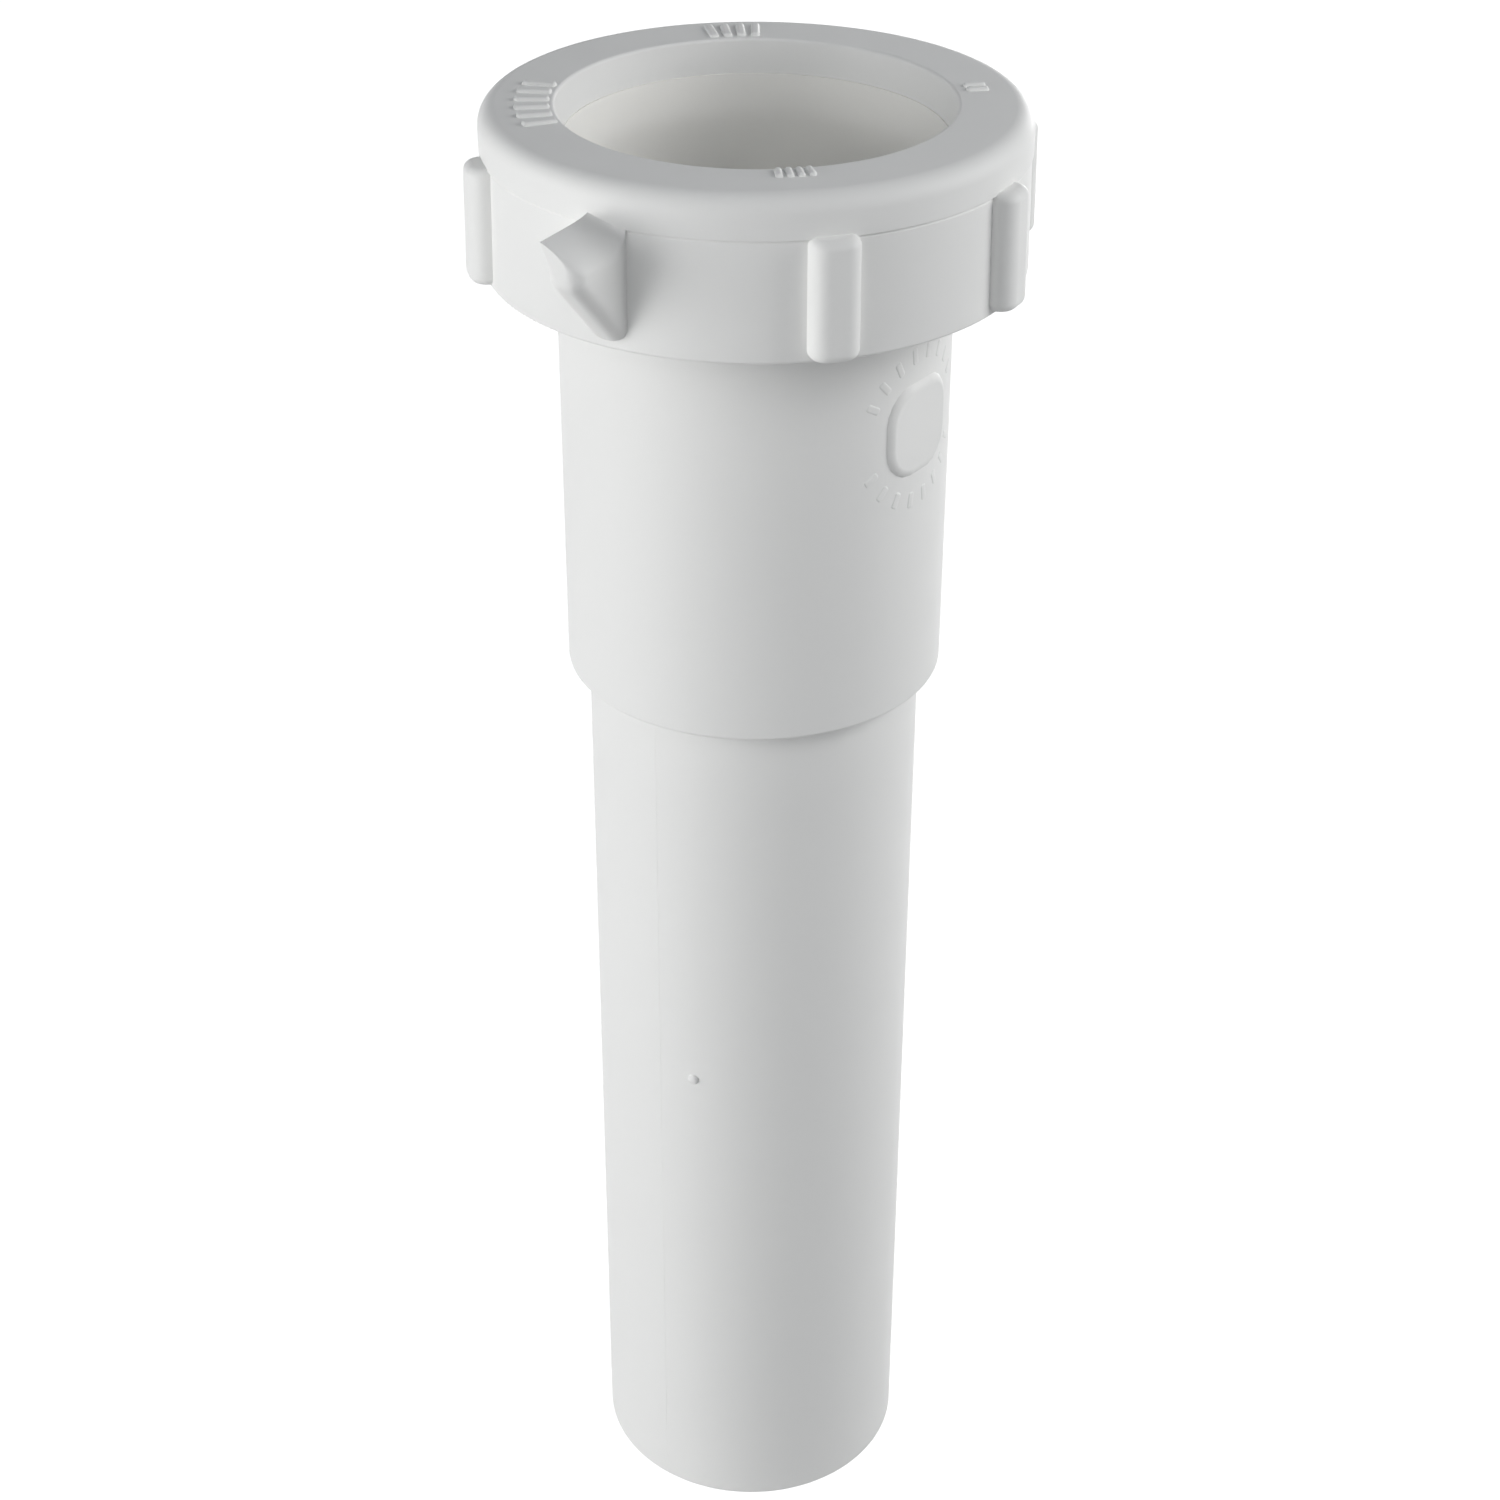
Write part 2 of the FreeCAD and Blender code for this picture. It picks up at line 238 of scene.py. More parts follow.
# Studio
FLOOR_HALF = 4.0
PAPER_COLOUR = (0.55, 0.55, 0.55, 1)
PAPER_GLOW = 0.9
ROOM_COLOUR = (0.72, 0.95, 1.25, 1)
ROOM_STRENGTH = 0.04
WHITE = (1, 1, 1, 1)

# Colour sockets of a Mix node
MIX_FIRST, MIX_SECOND, MIX_RESULT = 6, 7, 2


class Wire:
    """One output of a node. Arithmetic on wires adds Math nodes to their tree."""

    def __init__(self, tree, socket):
        self.tree = tree
        self.socket = socket

    def __add__(self, other):
        return self.tree.math("ADD", self, other)

    def __radd__(self, other):
        return self.tree.math("ADD", other, self)

    def __sub__(self, other):
        return self.tree.math("SUBTRACT", self, other)

    def __rsub__(self, other):
        return self.tree.math("SUBTRACT", other, self)

    def __mul__(self, other):
        return self.tree.math("MULTIPLY", self, other)

    def __rmul__(self, other):
        return self.tree.math("MULTIPLY", other, self)

    def __truediv__(self, other):
        return self.tree.math("DIVIDE", self, other)

    def __rtruediv__(self, other):
        return self.tree.math("DIVIDE", other, self)

    def __mod__(self, other):
        return self.tree.math("MODULO", self, other)

    def __rmod__(self, other):
        return self.tree.math("MODULO", other, self)


class Tree:
    """A node tree of either kind, with one way to add a node."""

    def __init__(self, tree):
        self.tree = tree

    def add(self, kind, settings=None, sockets=None, out=0):
        """Adds a node. Returns one output, or a list of them where out is a tuple of names."""
        node = self.tree.nodes.new(kind)
        for name, value in (settings or {}).items():
            setattr(node, name, value)
        for key, value in (sockets or {}).items():
            if isinstance(value, Wire):
                self.tree.links.new(value.socket, node.inputs[key])
            else:
                node.inputs[key].default_value = value
        if isinstance(out, tuple):
            return [Wire(self, node.outputs[name]) for name in out]
        return Wire(self, node.outputs[out]) if node.outputs else None

    def math(self, operation, *terms):
        """Adds a Math node on wires or numbers."""
        return self.add("ShaderNodeMath", {"operation": operation}, dict(enumerate(terms)))


# Geometry trees

def geometry_tree(name, sizes):
    """A geometry tree with its inputs by name: a shape, the named sizes and a finish."""
    group = bpy.data.node_groups.new(name, "GeometryNodeTree")
    kinds = {"Shape": "Geometry", **sizes, "Finish": "Material"}
    for label, kind in kinds.items():
        group.interface.new_socket(label, in_out="INPUT", socket_type="NodeSocket" + kind)
    group.interface.new_socket("Shape", in_out="OUTPUT", socket_type="NodeSocketGeometry")
    tree = Tree(group)
    return tree, dict(zip(kinds, tree.add("NodeGroupInput", out=tuple(kinds))))


def end_tree(tree, shape, finish):
    """Closes a geometry tree with real copies and their material."""
    real = tree.add("GeometryNodeRealizeInstances", {}, {0: shape})
    coated = tree.add("GeometryNodeSetMaterial", {}, {"Geometry": real, "Material": finish})
    tree.add("NodeGroupOutput", {}, {0: coated})
    return tree.tree


def turned_copies(tree, shape, places, bearing):
    """A copy of the shape at each place, turned by its bearing round the Z axis."""
    turn = tree.add("ShaderNodeCombineXYZ", {}, {"Z": bearing})
    rotation = tree.add("FunctionNodeEulerToRotation", {}, {"Euler": turn})
    return tree.add("GeometryNodeInstanceOnPoints", {}, {
        "Points": places, "Instance": shape, "Rotation": rotation})


def turning_tree():
    """Turns a section in the XZ plane round the Z axis."""
    tree, size = geometry_tree("turned_moulding", {"Mean Radius": "Float", "Segments": "Int"})
    section = tree.add("GeometryNodeMeshToCurve", {}, {"Mesh": size["Shape"]})
    back = tree.add("ShaderNodeCombineXYZ", {}, {"X": 0 - size["Mean Radius"]})
    laid = tree.add("GeometryNodeTransform", {}, {
        "Geometry": section, "Translation": back, "Rotation": (QUARTER_TURN, 0, 0)})
    ring = tree.add("GeometryNodeCurvePrimitiveCircle", {"mode": "RADIUS"}, {
        "Resolution": size["Segments"], "Radius": size["Mean Radius"]})
    wall = tree.add("GeometryNodeCurveToMesh", {}, {"Curve": ring, "Profile Curve": laid})
    return end_tree(tree, wall, size["Finish"])


def ridge_tree():
    """Winds a thread's section, in the XY plane, up a right-hand helix that fades at both ends."""
    tree, size = geometry_tree("thread_ridge", {
        "Root Radius": "Float", "Pitch": "Float", "Turns": "Float", "Start Height": "Float",
        "Points In Turn": "Int", "Fade": "Float"})
    section = tree.add("GeometryNodeMeshToCurve", {}, {"Mesh": size["Shape"]})
    helix = tree.add("GeometryNodeCurveSpiral", {}, {
        "Resolution": size["Points In Turn"], "Rotations": size["Turns"],
        "Start Radius": size["Root Radius"], "End Radius": size["Root Radius"],
        "Height": size["Turns"] * size["Pitch"], "Reverse": False})
    level = tree.add("GeometryNodeSetCurveNormal", {"mode": "Z_UP"}, {"Curve": helix})
    turned = tree.add("GeometryNodeSplineParameter", out="Factor") * size["Turns"]
    from_end = tree.math("MINIMUM", turned, size["Turns"] - turned)
    grown = tree.add("ShaderNodeMapRange", {"interpolation_type": "SMOOTHSTEP"}, {
        "Value": from_end / size["Fade"], "To Min": THREAD_START})
    ridge = tree.add("GeometryNodeCurveToMesh", {}, {
        "Curve": level, "Profile Curve": section, "Scale": grown, "Fill Caps": True})
    up = tree.add("ShaderNodeCombineXYZ", {}, {"Z": size["Start Height"]})
    placed = tree.add("GeometryNodeTransform", {}, {"Geometry": ridge, "Translation": up})
    return end_tree(tree, placed, size["Finish"])


def fan_tree():
    """Copies a shape round the Z axis: some copies a step apart in each of several equal groups."""
    tree, size = geometry_tree("lug_fan", {
        "Groups": "Int", "In Group": "Int", "Step": "Float", "First": "Float"})
    number = tree.add("GeometryNodeInputIndex")
    group = tree.math("FLOOR", number / size["In Group"])
    in_group = number % size["In Group"]
    bearing = size["First"] + group * (FULL_TURN / size["Groups"]) + in_group * size["Step"]
    places = tree.add("GeometryNodePoints", {}, {"Count": size["Groups"] * size["In Group"]})
    copies = turned_copies(tree, size["Shape"], places, bearing)
    return end_tree(tree, copies, size["Finish"])


def wrapping_tree():
    """Sets copies of a flat shape in a ring, and wraps them on the outside of the tube."""
    tree, size = geometry_tree("mark_on_tube", {
        "Copies": "Int", "Ring Radius": "Float", "First": "Float", "Step": "Float",
        "Tube Radius": "Float", "Bearing": "Float", "Height": "Float"})
    angle = size["First"] + tree.add("GeometryNodeInputIndex") * size["Step"]
    spot = tree.add("ShaderNodeCombineXYZ", {}, {
        "X": size["Ring Radius"] * tree.math("COSINE", angle),
        "Y": size["Ring Radius"] * tree.math("SINE", angle)})
    places = tree.add("GeometryNodePoints", {}, {"Count": size["Copies"], "Position": spot})
    copies = turned_copies(tree, size["Shape"], places, angle)
    flat = tree.add("GeometryNodeRealizeInstances", {}, {0: copies})
    position = tree.add("GeometryNodeInputPosition")
    across, upward, outward = tree.add(
        "ShaderNodeSeparateXYZ", {}, {0: position}, out=("X", "Y", "Z"))
    bearing = size["Bearing"] + across / size["Tube Radius"]
    reach = size["Tube Radius"] + outward
    bent = tree.add("ShaderNodeCombineXYZ", {}, {
        "X": reach * tree.math("COSINE", bearing),
        "Y": reach * tree.math("SINE", bearing),
        "Z": size["Height"] + upward})
    wrapped = tree.add("GeometryNodeSetPosition", {}, {"Geometry": flat, "Position": bent})
    return end_tree(tree, wrapped, size["Finish"])


# Mesh helpers

def rounded(corners, arc_step=ARC_STEP):
    """A closed outline as points: each corner is (x, y, radius)."""
    points = []
    for place, (x, y, radius) in enumerate(corners):
        corner = Vector((x, y))
        back = (Vector(corners[place - 1][:2]) - corner).normalized()
        ahead = (Vector(corners[(place + 1) % len(corners)][:2]) - corner).normalized()
        if radius == 0:
            points.append(corner)
            continue
        half = back.angle(ahead) / 2
        centre = corner + (back + ahead).normalized() * (radius / math.sin(half))
        start = corner + back * (radius / math.tan(half)) - centre
        end = corner + ahead * (radius / math.tan(half)) - centre
        sweep = math.atan2(start.cross(end), start.dot(end))
        steps = max(2, math.ceil(abs(sweep) / arc_step))
        for step in range(steps + 1):
            points.append(centre + Matrix.Rotation(sweep * step / steps, 2) @ start)
    return points


def oblong(x_size, y_size, corner):
    """A rectangle about the origin with rounded corners."""
    x, y = x_size / 2, y_size / 2
    corners = ((-x, -y, corner), (x, -y, corner), (x, y, corner), (-x, y, corner))
    return rounded(corners, MARK_ARC_STEP)


def wire_mesh(name, points, upright):
    """A closed loop of edges through flat points, in the XZ plane if upright, else in XY."""
    mesh = bpy.data.meshes.new(name)
    spots = [(p.x, 0, p.y) if upright else (p.x, p.y, 0) for p in points]
    edges = [(place, (place + 1) % len(spots)) for place in range(len(spots))]
    mesh.from_pydata(spots, edges, [])
    return mesh


def skin(name, loops):
    """A closed shape through loops that have the same number of points."""
    shape = bmesh.new()
    rings = [[shape.verts.new(spot) for spot in loop] for loop in loops]
    for lower, upper in zip(rings, rings[1:]):
        for side in range(len(lower)):
            shape.faces.new((lower[side - 1], lower[side], upper[side], upper[side - 1]))
    shape.faces.new(reversed(rings[0]))
    shape.faces.new(rings[-1])
    bmesh.ops.remove_doubles(shape, verts=shape.verts, dist=SAME_POINT)
    bmesh.ops.dissolve_degenerate(shape, edges=shape.edges, dist=SAME_POINT)
    bmesh.ops.recalc_face_normals(shape, faces=shape.faces)
    mesh = bpy.data.meshes.new(name)
    shape.to_mesh(mesh)
    shape.free()
    return mesh


def rolled_plate(name, outline, low, high, edge, square_foot=False):
    """A plate over an outline in the XY plane. Its edges are rolled, or only the upper ones."""
    spokes = []
    for place, point in enumerate(outline):
        before = (point - outline[place - 1]).normalized()
        after = (outline[(place + 1) % len(outline)] - point).normalized()
        first = Vector((before.y, -before.x))
        last = Vector((after.y, -after.x))
        mitre = (first + last) / (1 + first.dot(last))
        turn = math.atan2(before.cross(after), before.dot(after))
        pushes = [mitre]
        if turn > SHARP_ANGLE:
            turns = [turn * step / EDGE_STEPS for step in range(EDGE_STEPS + 1)]
            pushes = [Matrix.Rotation(part, 2) @ first for part in turns]
        spokes += [(point - mitre * edge, push) for push in pushes]
    bends = [QUARTER_TURN * (step / EDGE_STEPS - 1) for step in range(EDGE_STEPS + 1)]
    levels = [(edge * math.cos(bend), low + edge + edge * math.sin(bend)) for bend in bends]
    upper = [(reach, low + high - height) for reach, height in reversed(levels)]
    levels = [(edge, low)] + upper if square_foot else levels + upper
    return skin(name, [
        [(*(core + push * reach), height) for core, push in spokes] for reach, height in levels])


def as_plain_mesh(holder):
    """Gives a holder the mesh that its modifiers make, and takes the modifiers away."""
    ready = holder.evaluated_get(bpy.context.evaluated_depsgraph_get())
    plain = bpy.data.meshes.new_from_object(ready)
    holder.modifiers.clear()
    holder.data = plain
    plain.name = holder.name
    return holder


def face_outward(mesh):
    """Makes all of a closed mesh's faces point outwards."""
    shape = bmesh.new()
    shape.from_mesh(mesh)
    bmesh.ops.recalc_face_normals(shape, faces=shape.faces)
    shape.to_mesh(mesh)
    shape.free()


def linked(name, data):
    """A new object of the scene that holds the data."""
    holder = bpy.data.objects.new(name, data)
    bpy.context.collection.objects.link(holder)
    return holder


def grow(name, mesh, group, sizes):
    """Runs a geometry tree on a mesh, with its inputs set by name, and keeps a plain mesh."""
    holder = linked(name, mesh)
    modifier = holder.modifiers.new(name, "NODES")
    modifier.node_group = group
    for item in group.interface.items_tree:
        if item.in_out == "INPUT" and item.name in sizes:
            modifier[item.identifier] = sizes[item.name]
    as_plain_mesh(holder)
    face_outward(holder.data)
    return holder


def fuse(name, wall, *details):
    """Joins overlapping closed shapes into one closed moulding, with evenly shaded faces."""
    for detail in details:
        union = wall.modifiers.new(detail.name, "BOOLEAN")
        union.operation = "UNION"
        union.solver = "MANIFOLD"
        union.object = detail
    as_plain_mesh(wall)
    for detail in details:
        bpy.data.objects.remove(detail)
    wall.name = name
    wall.data.name = name
    wall.data.shade_smooth()
    wall.data.set_sharp_from_angle(angle=SHARP_ANGLE)
    even = wall.modifiers.new("even_shading", "WEIGHTED_NORMAL")
    even.keep_sharp = True
    return as_plain_mesh(wall)


# Finishes

def bare_nodes(owner):
    """The emptied node tree of a new material or world."""
    owner.use_nodes = True
    owner.node_tree.nodes.clear()
    return Tree(owner.node_tree)


def moulded_plastic(name, pale, deep, gloss, grain_depth):
    """Satin plastic: clouded colour and sheen, a spark-eroded grain, and draw marks along Z."""
    material = bpy.data.materials.new(name)
    tree = bare_nodes(material)
    place = tree.add("ShaderNodeTexCoord", out="Object")
    drawn = tree.add("ShaderNodeMapping", {}, {"Vector": place, "Scale": DRAW_STRETCH})
    cloud = tree.add("ShaderNodeTexNoise", {}, {
        "Vector": place, "Scale": 55, "Detail": 3, "Roughness": 0.6})
    sheen = tree.add("ShaderNodeTexNoise", {}, {
        "Vector": place, "Scale": 260, "Detail": 4, "Roughness": 0.6})
    grain = tree.add("ShaderNodeTexNoise", {}, {"Vector": place, "Scale": 2600, "Detail": 2})
    draw_marks = tree.add("ShaderNodeTexNoise", {}, {"Vector": drawn, "Scale": 900, "Detail": 3})
    colour = tree.add("ShaderNodeMix", {"data_type": "RGBA"}, {
        "Factor": cloud, MIX_FIRST: pale, MIX_SECOND: deep}, out=MIX_RESULT)
    height = grain * GRAIN_SHARE + draw_marks * DRAW_SHARE
    bumped = tree.add("ShaderNodeBump", {}, {
        "Height": height, "Strength": 0.5, "Distance": grain_depth})
    roughness = gloss - SHEEN_SPREAD / 2 + sheen * SHEEN_SPREAD
    surface = tree.add("ShaderNodeBsdfPrincipled", {}, {
        "Base Color": colour, "Roughness": roughness, "Normal": bumped,
        "IOR": 1.49, "Specular IOR Level": 0.12})
    tree.add("ShaderNodeOutputMaterial", {}, {"Surface": surface})
    return material


WHITE_TUBE = moulded_plastic("white_tube", PALE_WHITE, DEEP_WHITE, 0.45, 0.012 * MM)
WHITE_NUT = moulded_plastic("white_nut", PALE_WHITE, DEEP_WHITE, 0.47, 0.014 * MM)
WAXY_WASHER = moulded_plastic("waxy_washer", PALE_WAX, DEEP_WAX, 0.5, 0.01 * MM)

TURNING = turning_tree()
RIDGE = ridge_tree()
FAN = fan_tree()
WRAPPING = wrapping_tree()


# Shapes that the mouldings share

def turned_wall(name, corners, finish):
    """A wall turned from its section, whose corners are (radius, height, rounding)."""
    section = wire_mesh(name, rounded(corners), upright=True)
    return grow(name, section, TURNING, {
        "Mean Radius": corners[0][0], "Segments": WALL_SEGMENTS, "Finish": finish})


def thread_ridge(name, root_r, outward, start_z, end_z, finish):
    """A screw thread's ridge, standing outward or inward from its root radius."""
    points = rounded((
        (-RIDGE_BURY, -RIDGE_ROOT / 2, 0),
        (0, -RIDGE_ROOT / 2, 0),
        (THREAD_DEPTH, -RIDGE_CREST / 2, RIDGE_EDGE),
        (THREAD_DEPTH, RIDGE_CREST / 2, RIDGE_EDGE),
        (0, RIDGE_ROOT / 2, 0),
        (-RIDGE_BURY, RIDGE_ROOT / 2, 0),
    ))
    if not outward:
        points = [Vector((-p.x, p.y)) for p in points]
    return grow(name, wire_mesh(name, points, upright=False), RIDGE, {
        "Root Radius": root_r, "Pitch": PITCH, "Turns": (end_z - start_z) / PITCH,
        "Start Height": start_z, "Points In Turn": THREAD_POINTS, "Fade": THREAD_FADE,
        "Finish": finish})


def wrapped_mark(name, outline, rise, edge, tube_r, bearing, height,
                 copies=1, ring_r=0.0, first=0.0, step=0.0):
    """A raised mark on the outside of the tube, or an arc of them."""
    foot = rise - edge - MARK_BURY
    plate = rolled_plate(name, oblong(*outline), foot, rise, edge, square_foot=True)
    return grow(name, plate, WRAPPING, {
        "Copies": copies, "Ring Radius": ring_r, "First": first, "Step": step,
        "Tube Radius": tube_r, "Bearing": bearing, "Height": height, "Finish": WHITE_TUBE})


# Extension tube

def pad_bars(first):
    """An arc of plain bars beside the pad."""
    return wrapped_mark(
        "pad_bars", PAD_BAR_OUTLINE, PAD_BAR_RISE, PAD_BAR_EDGE, SOCKET_R, PAD_BEARING, PAD_Z,
        copies=PAD_BARS, ring_r=PAD_BAR_RING_R, first=first, step=PAD_BAR_STEP)


def tail_seam(bearing):
    """A fine line along the tail, where the mould's halves meet."""
    return wrapped_mark("seam", SEAM_OUTLINE, SEAM_RISE, SEAM_EDGE, TAIL_R, bearing, STEP_Z / 2)


def tube_moulding():
    """The tube's wall with its thread, pad, bars, gate and seams."""
    wall = turned_wall("tube_wall", (
        (TAIL_R, 0, TAIL_END_EDGE),
        (TAIL_R, STEP_Z, STEP_ROOT),
        (SOCKET_R, STEP_Z, STEP_EDGE),
        (SOCKET_R, COLLAR_FOOT_Z - (COLLAR_R - SOCKET_R), COLLAR_ROOT),
        (COLLAR_R, COLLAR_FOOT_Z, COLLAR_EDGE),
        (COLLAR_R, MOUTH_Z, MOUTH_EDGE),
        (SEAT_R, MOUTH_Z, SEAT_EDGE),
        (SOCKET_BORE_R, SEAT_Z, SEAT_ROOT),
        (SOCKET_BORE_R, STOP_Z, STOP_ROOT),
        (TAIL_BORE_R, STOP_Z, STOP_EDGE),
        (TAIL_BORE_R, 0, TAIL_END_EDGE),
    ), WHITE_TUBE)
    ridge = thread_ridge("tube_thread", COLLAR_R, True, COLLAR_FOOT_Z + RIDGE_MARGIN,
                         MOUTH_Z - RIDGE_MARGIN, WHITE_TUBE)
    pad = wrapped_mark("pad", PAD_OUTLINE, PAD_RISE, PAD_EDGE, SOCKET_R, PAD_BEARING, PAD_Z)
    bars = [pad_bars(first) for first in PAD_BAR_STARTS]
    gate = wrapped_mark("gate", GATE_OUTLINE, GATE_RISE, GATE_EDGE, TAIL_R, GATE_BEARING, GATE_Z)
    seams = [tail_seam(SEAM_BEARING + side * FULL_TURN / 2) for side in range(2)]
    return fuse("tube_moulding", wall, ridge, pad, *bars, gate, *seams)


# Slip washer

def washer_ring():
    """A flanged ring whose nose sits in the tube's cone, with a lead-in at its bore."""
    ring = turned_wall("washer_wall", (
        (WASHER_BORE_R, NOSE_TIP_Z, FINE_EDGE),
        (NOSE_TIP_R, NOSE_TIP_Z, NOSE_EDGE),
        (NOSE_R, MOUTH_Z, NOSE_EDGE),
        (FLANGE_R, MOUTH_Z, FLANGE_EDGE),
        (FLANGE_R, washer_high.z, FLANGE_EDGE),
        (WASHER_BORE_R + WASHER_LEAD, washer_high.z, WASHER_LEAD_EDGE),
        (WASHER_BORE_R, washer_high.z - WASHER_LEAD_DEPTH, WASHER_LEAD_SWEEP),
    ), WAXY_WASHER)
    return fuse("washer_ring", ring)


# Slip nut

def finger_ribs():
    """Upright finger ribs, three from each wing to the next, drawn in by the nut's taper."""
    half = RIB_WIDTH / 2
    outline = rounded((
        (LUG_ROOT_R, -half, 0),
        (RIB_FACE_R, -half, RIB_ROUND),
        (RIB_FACE_R, half, RIB_ROUND),
        (LUG_ROOT_R, half, 0),
    ))
    rib = rolled_plate("rib", outline, RIB_FOOT_Z, RIB_TOP_Z, RIB_EDGE)
    for vert in rib.vertices:
        vert.co.x -= SKIRT_FLARE * (vert.co.z - NUT_FOOT_Z) / (CAP_FOOT_Z - NUT_FOOT_Z)
    return grow("finger_ribs", rib, FAN, {
        "Groups": WINGS, "In Group": RIBS_IN_GROUP, "Step": LUG_STEP,
        "First": WING_BEARING + LUG_STEP, "Finish": WHITE_NUT})


def wing_crest():
    """A wing's top: sharp on its left, rolling over to the right, and flatter at the cap."""
    half = WING_THICKNESS / 2
    left = half + CREST_OVERHANG
    bends = [QUARTER_TURN * step / CREST_STEPS for step in range(CREST_STEPS + 1)]
    # Sections from the root to the tip: radius, reach to the right, and share of the cap's blend
    at_root = [(LUG_ROOT_R, half, 1.0)]
    at_cap = [
        (CREST_BLEND_R + CREST_BLEND * (1 - math.cos(bend)), half, 1 - math.sin(bend))
        for bend in bends]
    at_tip = [
        (WING_TIP_R - WING_ROUND * (1 - math.sin(bend)),
         half - WING_ROUND * (1 - math.cos(bend)), 0.0)
        for bend in bends]
    loops = []
    for radius, right, blend in at_root + at_cap + at_tip:
        top = CREST_Z + CREST_RISE * blend
        fall = CREST_FALL + (CREST_ROOT_FALL - CREST_FALL) * blend
        roll = WING_ROUND * (1 - blend)
        section = []
        for bend in bends:
            across = (left + right) * math.sin(bend)
            section.append((across - left, top - fall * across - roll * (1 - math.cos(bend))))
        section += [
            (right - CREST_RIGHT_INSET, CREST_FOOT_Z), (CREST_LEFT_INSET - right, CREST_FOOT_Z)]
        loops.append([(math.sqrt(radius ** 2 - y * y), y, z) for y, z in section])
    return skin("wing_crest", loops)


def turning_wings():
    """Two wings, cut back below to the nut's foot, and their crests."""
    places = {
        "Groups": WINGS, "In Group": 1, "Step": 0.0, "First": WING_BEARING, "Finish": WHITE_NUT}
    half = WING_THICKNESS / 2
    outline = rounded((
        (LUG_ROOT_R, NUT_FOOT_Z + WING_FOOT_GAP + LUG_ROOT_R - SKIRT_R, 0),
        (WING_TIP_R, WING_TOP_Z - WING_TIP, 0),
        (WING_TIP_R, WING_PLATE_TOP_Z, 0),
        (LUG_ROOT_R, WING_PLATE_TOP_Z, 0),
    ))
    wing = rolled_plate("wing", outline, -half, half, WING_ROUND)
    wing.transform(Matrix.Rotation(QUARTER_TURN, 4, "X"))
    wings = grow("turning_wings", wing, FAN, places)
    crests = grow("wing_crests", wing_crest(), FAN, places)
    return [wings, crests]


def rim_marks():
    """Groups of plain raised bars on the nut's rim."""
    marks = []
    for name, bearing, bars, step, radius, length, width in RIM_BARS:
        outline = oblong(length * MM, width * MM, RIM_BAR_CORNER)
        bar = rolled_plate(name, outline, -RIM_BAR_BURY, 0, RIM_BAR_RISE, square_foot=True)
        bar.transform(Matrix.Translation((radius * MM, 0, NUT_TOP_Z)))
        marks.append(grow(name, bar, FAN, {
            "Groups": 1, "In Group": bars, "Step": math.radians(step),
            "First": math.radians(bearing - step * (bars - 1) / 2), "Finish": WHITE_NUT}))
    return marks


def nut_moulding():
    """The nut's wall with its ribs, wings, rim bars and thread."""
    wall = turned_wall("nut_wall", (
        (SKIRT_FOOT_R, NUT_FOOT_Z, NUT_FOOT_EDGE),
        (SKIRT_R, CAP_FOOT_Z - GROOVE_HEIGHT, FINE_EDGE),
        (SKIRT_R - GROOVE_DEPTH, CAP_FOOT_Z - GROOVE_LIP, GROOVE_ROOT),
        (CAP_R, CAP_FOOT_Z, FINE_EDGE),
        (CAP_R, RIM_Z, SHOULDER_ROUND),
        (HOLE_R + HOLE_DRAFT, RIM_Z, HOLE_EDGE),
        (HOLE_R, UNDER_RIM_Z, FINE_EDGE),
        (NUT_BORE_R, UNDER_RIM_Z, NUT_BORE_ROOT),
        (NUT_BORE_R, NUT_FOOT_Z + NUT_LEAD, NUT_FOOT_EDGE),
        (NUT_BORE_R + NUT_LEAD, NUT_FOOT_Z, NUT_LEAD_EDGE),
    ), WHITE_NUT)
    ridge = thread_ridge("nut_thread", NUT_BORE_R, False, COLLAR_FOOT_Z + RIDGE_MARGIN - PITCH / 2,
                         UNDER_RIM_Z - RIDGE_MARGIN, WHITE_NUT)
    return fuse("nut_moulding", wall, finger_ribs(), *turning_wings(), *rim_marks(), ridge)


def stand(piece, body, node):
    """Makes a piece ride on its body, in the place of the plain solid."""
    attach(piece, body)
    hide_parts(node)


stand(tube_moulding(), "tube", "extension_tube")
stand(washer_ring(), "washer", "slip_washer")
stand(nut_moulding(), "nut", "slip_nut")


# Studio

def seen_rays(tree):
    """One where a ray comes from the camera, or from a glossy or clear surface."""
    camera, glossy, clear = tree.add("ShaderNodeLightPath", out=(
        "Is Camera Ray", "Is Glossy Ray", "Is Transmission Ray"))
    return camera + glossy + clear


def white_floor():
    """A sheet of paper that is lit by the lamps, and glows white where it is seen."""
    corners = [(x * FLOOR_HALF, y * FLOOR_HALF, 0) for x, y in ((-1, -1), (1, -1), (1, 1), (-1, 1))]
    mesh = bpy.data.meshes.new("floor")
    mesh.from_pydata(corners, [], [(0, 1, 2, 3)])
    floor = linked("floor", mesh)
    material = bpy.data.materials.new("white_floor")
    tree = bare_nodes(material)
    paper = tree.add("ShaderNodeBsdfDiffuse", {}, {"Color": PAPER_COLOUR})
    glow = tree.add("ShaderNodeEmission", {}, {"Color": WHITE, "Strength": PAPER_GLOW})
    shown = tree.add("ShaderNodeAddShader", {}, {0: paper, 1: glow})
    surface = tree.add("ShaderNodeMixShader", {}, {"Fac": seen_rays(tree), 1: paper, 2: shown})
    tree.add("ShaderNodeOutputMaterial", {}, {"Surface": surface})
    mesh.materials.append(material)


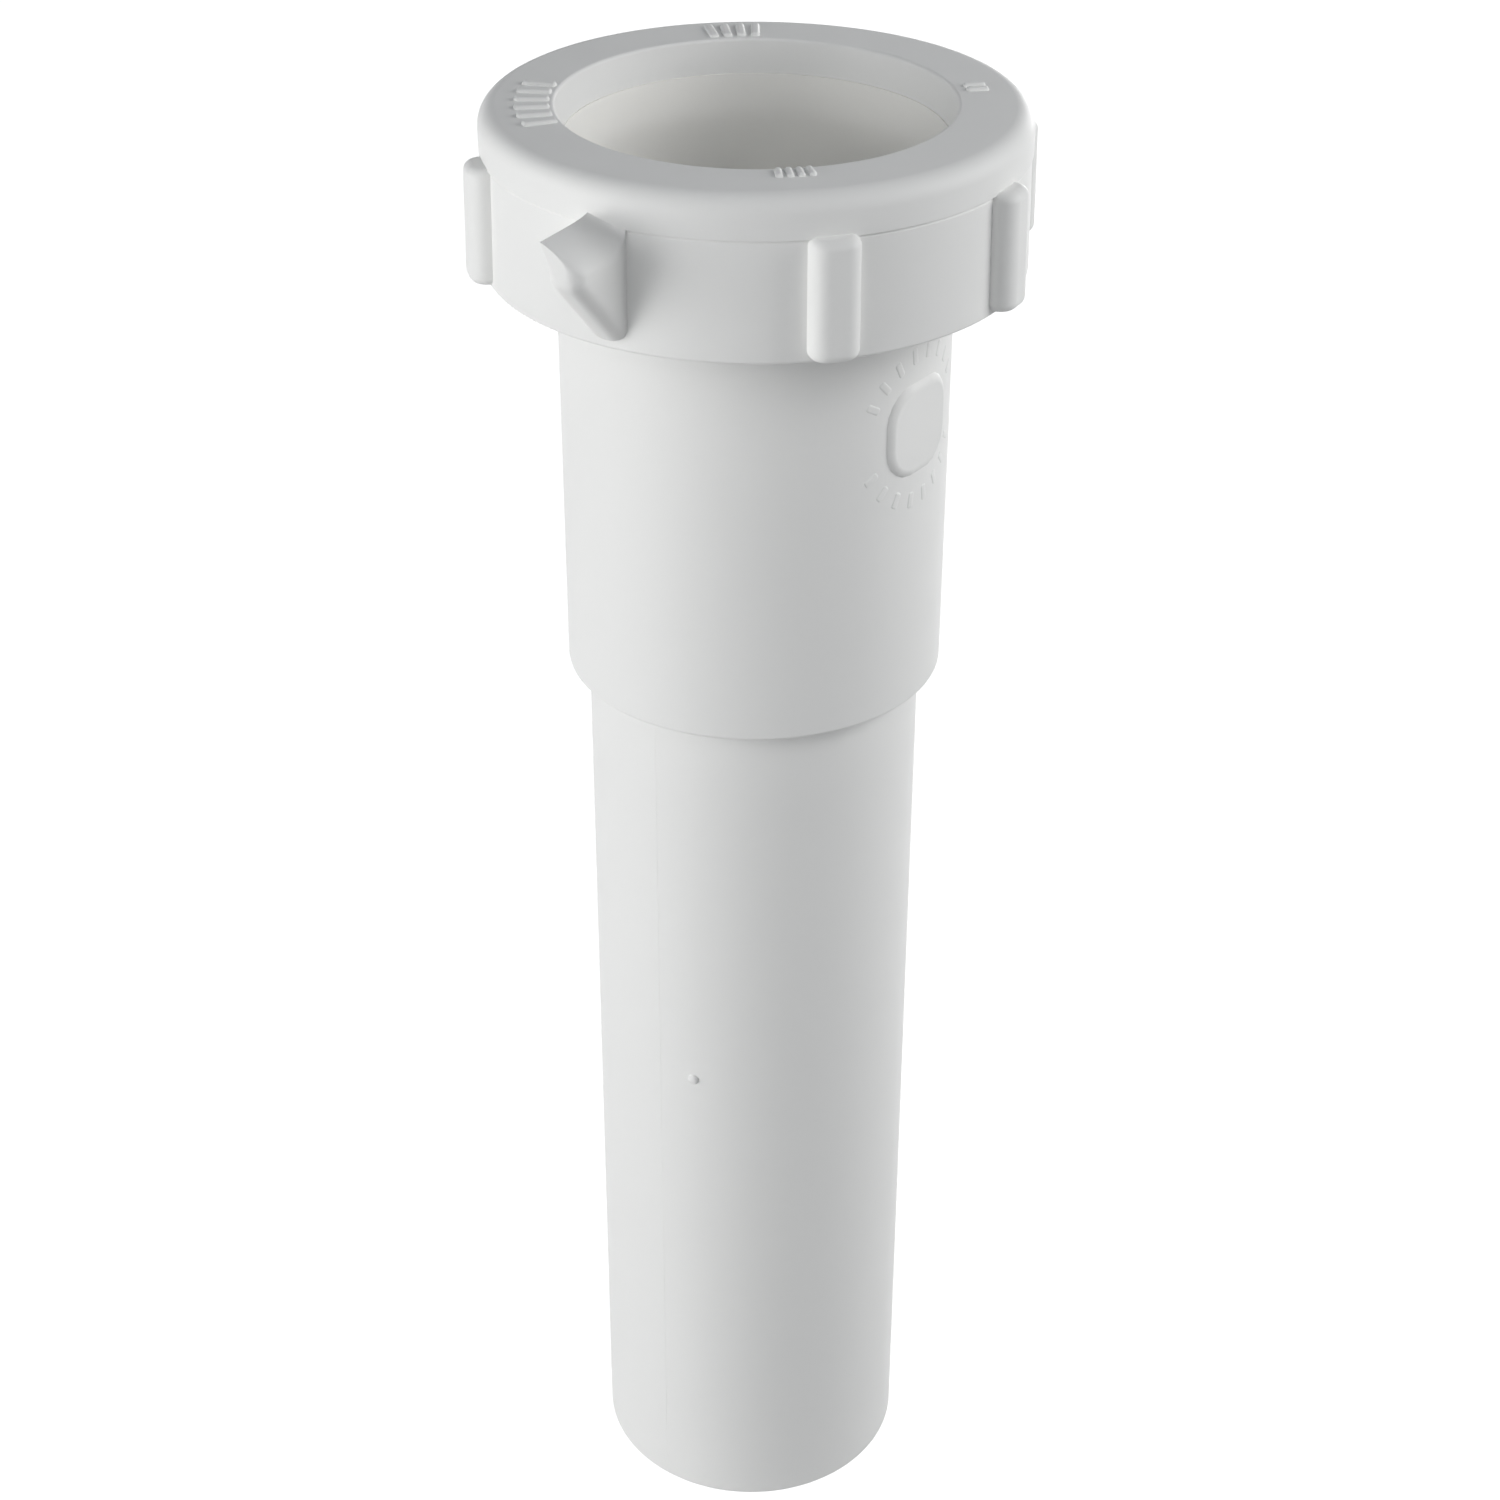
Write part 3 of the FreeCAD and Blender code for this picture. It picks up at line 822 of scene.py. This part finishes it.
def white_world():
    """A dim room that is white where it is seen."""
    world = bpy.data.worlds.new("studio")
    bpy.context.scene.world = world
    tree = bare_nodes(world)
    room = tree.add("ShaderNodeBackground", {}, {"Color": ROOM_COLOUR, "Strength": ROOM_STRENGTH})
    white = tree.add("ShaderNodeBackground", {}, {"Color": WHITE, "Strength": 1})
    surface = tree.add("ShaderNodeMixShader", {}, {"Fac": seen_rays(tree), 1: room, 2: white})
    tree.add("ShaderNodeOutputWorld", {}, {"Surface": surface})


def soft_lamp(name, azimuth, elevation, power, aim_z=95 * MM, distance=0.8, size=0.5):
    """A square lamp aimed at the axis. Azimuth is in degrees to the right of the camera."""
    light = bpy.data.lights.new(name, "AREA")
    light.size = size
    light.energy = power
    lamp = linked(name, light)
    turn, rise = math.radians(azimuth), math.radians(elevation)
    back = Vector((
        math.sin(turn) * math.cos(rise), -math.cos(turn) * math.cos(rise), math.sin(rise)))
    lamp.location = Vector((0, 0, aim_z)) + back * distance
    lamp.rotation_mode = "QUATERNION"
    lamp.rotation_quaternion = (-back).to_track_quat("-Z", "Y")


def photo_camera():
    """A camera at the photograph's viewing angle."""
    lens = bpy.data.cameras.new("photo_camera")
    lens.lens = CAMERA_LENS
    lens.sensor_width = CAMERA_SENSOR
    lens.clip_start = CAMERA_CLIP
    camera = linked("photo_camera", lens)
    behind = CAMERA_DISTANCE * math.cos(CAMERA_PITCH)
    above = CAMERA_DISTANCE * math.sin(CAMERA_PITCH)
    camera.location = (0, -behind, CAMERA_AIM.z + above)
    camera.rotation_mode = "QUATERNION"
    aimed = (CAMERA_AIM - camera.location).to_track_quat("-Z", "Y")
    camera.rotation_quaternion = aimed @ Quaternion((0, 0, 1), CAMERA_ROLL)
    bpy.context.scene.camera = camera


white_floor()
white_world()
soft_lamp("left_window", azimuth=-70, elevation=6, power=3.4, aim_z=70 * MM)
soft_lamp("low_left_window", azimuth=-58, elevation=-8, power=0.58,
          aim_z=85 * MM, distance=0.45, size=0.2)
soft_lamp("front_left_window", azimuth=-46, elevation=26, power=0.9)
soft_lamp("front_window", azimuth=15, elevation=42, power=4.4, distance=1.6, size=1.0)
soft_lamp("right_window", azimuth=88, elevation=22, power=1.6,
          aim_z=140 * MM, distance=0.5, size=0.3)
soft_lamp("back_window", azimuth=160, elevation=0, power=1.5, aim_z=100 * MM, size=0.2)
photo_camera()
bpy.context.scene.view_settings.view_transform = "Standard"
